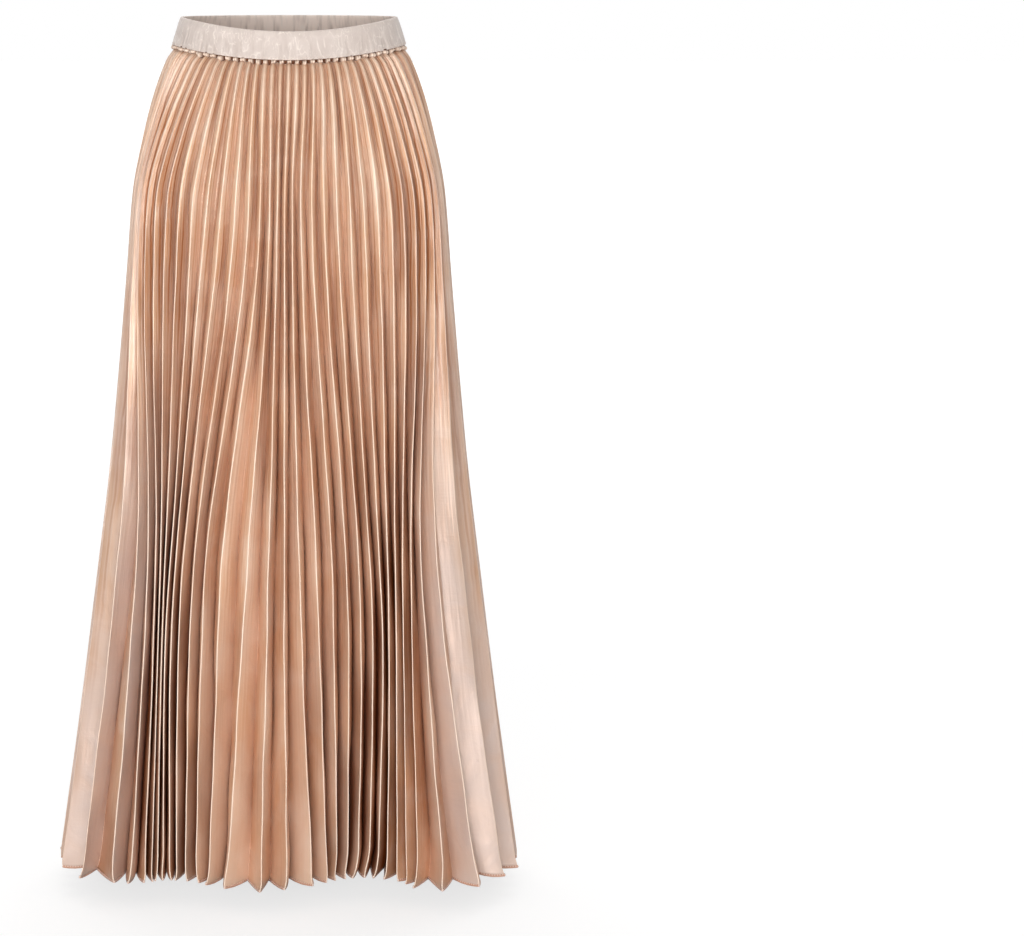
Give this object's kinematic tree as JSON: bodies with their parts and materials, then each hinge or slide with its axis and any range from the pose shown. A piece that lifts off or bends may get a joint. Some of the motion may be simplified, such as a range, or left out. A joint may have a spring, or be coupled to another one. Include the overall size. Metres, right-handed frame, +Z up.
{
  "type": "pleated maxi skirt",
  "caption": "Ankle-length satin skirt in sunray pleats, flaring from an elastic waistband to a wide zigzag hem, held in its worn shape.",
  "frame": {"origin": "middle of the waist, half way down the waistband, where the wearer's waist holds the skirt", "axes": "+Z up the body, -Y the way the wearer faces, +X towards the wearer's left"},
  "size_m": [0.5306, 0.3279, 0.9645],
  "materials": {
    "pleated_satin": "rose-gold satin with sharp pressed pleats",
    "waistband_casing": "matt pale pink casing, crinkled over elastic"
  },
  "bodies": {
    "root": {"waistband": "waistband_casing", "skirt_front": "pleated_satin", "skirt_back": "pleated_satin"}
  },
  "joints": []
}
